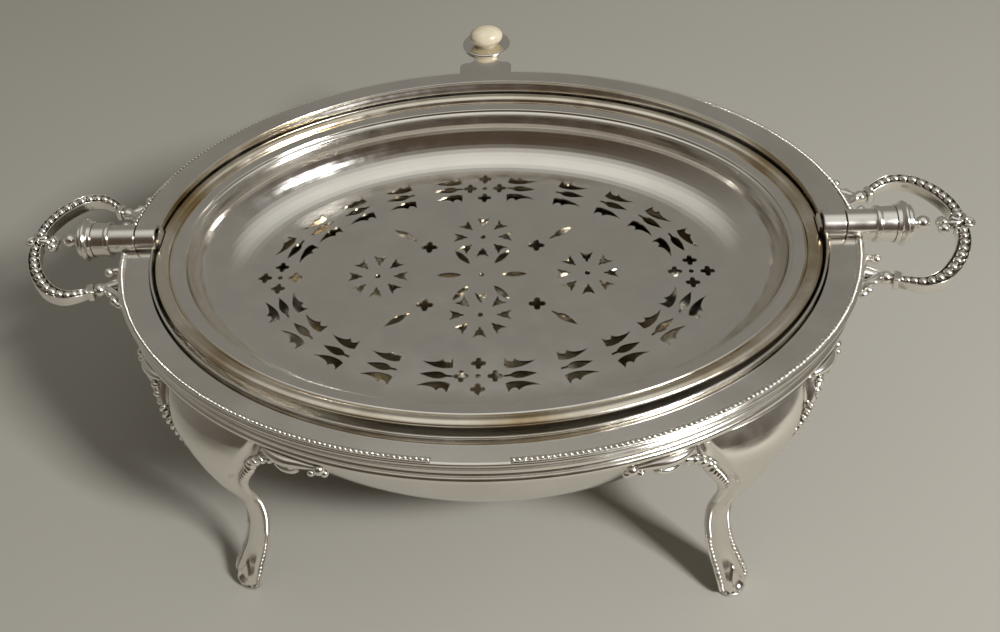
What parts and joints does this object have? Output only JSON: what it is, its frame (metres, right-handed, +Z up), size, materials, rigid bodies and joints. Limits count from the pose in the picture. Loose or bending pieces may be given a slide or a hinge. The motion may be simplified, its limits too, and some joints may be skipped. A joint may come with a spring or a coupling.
{
  "type": "revolving breakfast dish",
  "caption": "Oval breakfast dish on scrolled legs, with loop handles, a pierced drainer over a deep liner, and a domed cover that turns under the dish on two pivots.",
  "frame": {"origin": "on the table, under the centre of the dish's overall box with the cover turned under", "axes": "+X along the hinge from the left handle to the right, +Z up, the knob at the rear at +Y"},
  "size_m": [0.3916, 0.265, 0.1228],
  "materials": {
    "silver_plate": "polished",
    "ivory": "gloss"
  },
  "bodies": {
    "dish": {"bowl": "silver_plate", "rim_flange": "silver_plate", "rim_moulding": "silver_plate", "bead_border": "silver_plate", "leg_front_left": "silver_plate", "leg_front_right": "silver_plate", "leg_rear_left": "silver_plate", "leg_rear_right": "silver_plate", "handle_left": "silver_plate", "handle_right": "silver_plate", "handle_brackets_left": "silver_plate", "handle_brackets_right": "silver_plate", "pivot_barrel_left": "silver_plate", "pivot_barrel_right": "silver_plate", "pivot_pin_left": "silver_plate", "pivot_pin_right": "silver_plate", "liner_bracket_left": "silver_plate", "liner_bracket_right": "silver_plate", "liner_dish": "silver_plate", "pierced_drainer": "silver_plate"},
    "cover": {"cover_shell": "silver_plate", "cover_border": "silver_plate", "knuckle_left": "silver_plate", "knuckle_right": "silver_plate", "tab_plate": "silver_plate", "ivory_knob": "ivory", "knob_rivet": "silver_plate"}
  },
  "joints": [
    {"name": "cover_hinge", "type": "hinge", "parent": "dish", "child": "cover", "pos_m": [0, -0.0164, 0.113], "axis": [1, 0, 0], "range_deg": [0, 180]}
  ]
}
